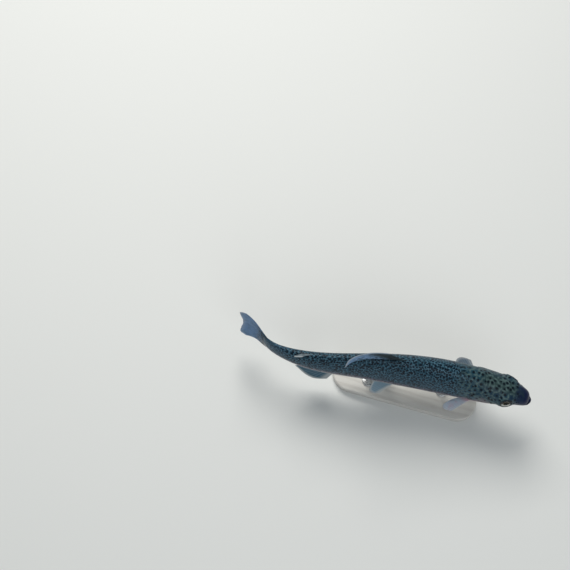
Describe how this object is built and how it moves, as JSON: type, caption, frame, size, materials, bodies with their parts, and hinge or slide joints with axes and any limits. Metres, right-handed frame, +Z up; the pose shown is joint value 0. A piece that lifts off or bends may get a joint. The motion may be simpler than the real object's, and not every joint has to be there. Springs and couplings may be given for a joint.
{
  "type": "rainbow trout model",
  "caption": "Life-size still model of a rainbow trout with its body curved as it swims, held over a flat base by short rods.",
  "frame": {"origin": "centre of the bounding box in plan, at the underside of the base", "axes": "+X the way the fish heads, from tail to snout; +Y towards the fish's left; +Z up"},
  "size_m": [0.395, 0.0823, 0.1373],
  "materials": {
    "skin": "wet-looking dark blue-green skin with small dark spots",
    "jaw": "wet-looking, paler below",
    "gill_cover": "wet-looking, silvery with a pink tinge",
    "fin": "satin grey with pale margins",
    "eye": "polished, with a silvery iris",
    "base": "pale grey oak, satin",
    "rod": "brushed"
  },
  "bodies": {
    "root": {"head": "skin", "lower_jaw": "jaw", "gill_cover_left": "gill_cover", "gill_cover_right": "gill_cover", "eye_left": "eye", "eye_right": "eye", "trunk_front": "skin", "trunk_middle": "skin", "trunk_rear": "skin", "tail_stalk": "skin", "dorsal_fin": "fin", "adipose_fin": "fin", "anal_fin": "fin", "pectoral_fin_left": "fin", "pectoral_fin_right": "fin", "pelvic_fin_left": "fin", "pelvic_fin_right": "fin", "caudal_fin": "fin", "stand_base": "base", "stand_rod_front": "rod", "stand_rod_rear": "rod"}
  },
  "joints": []
}
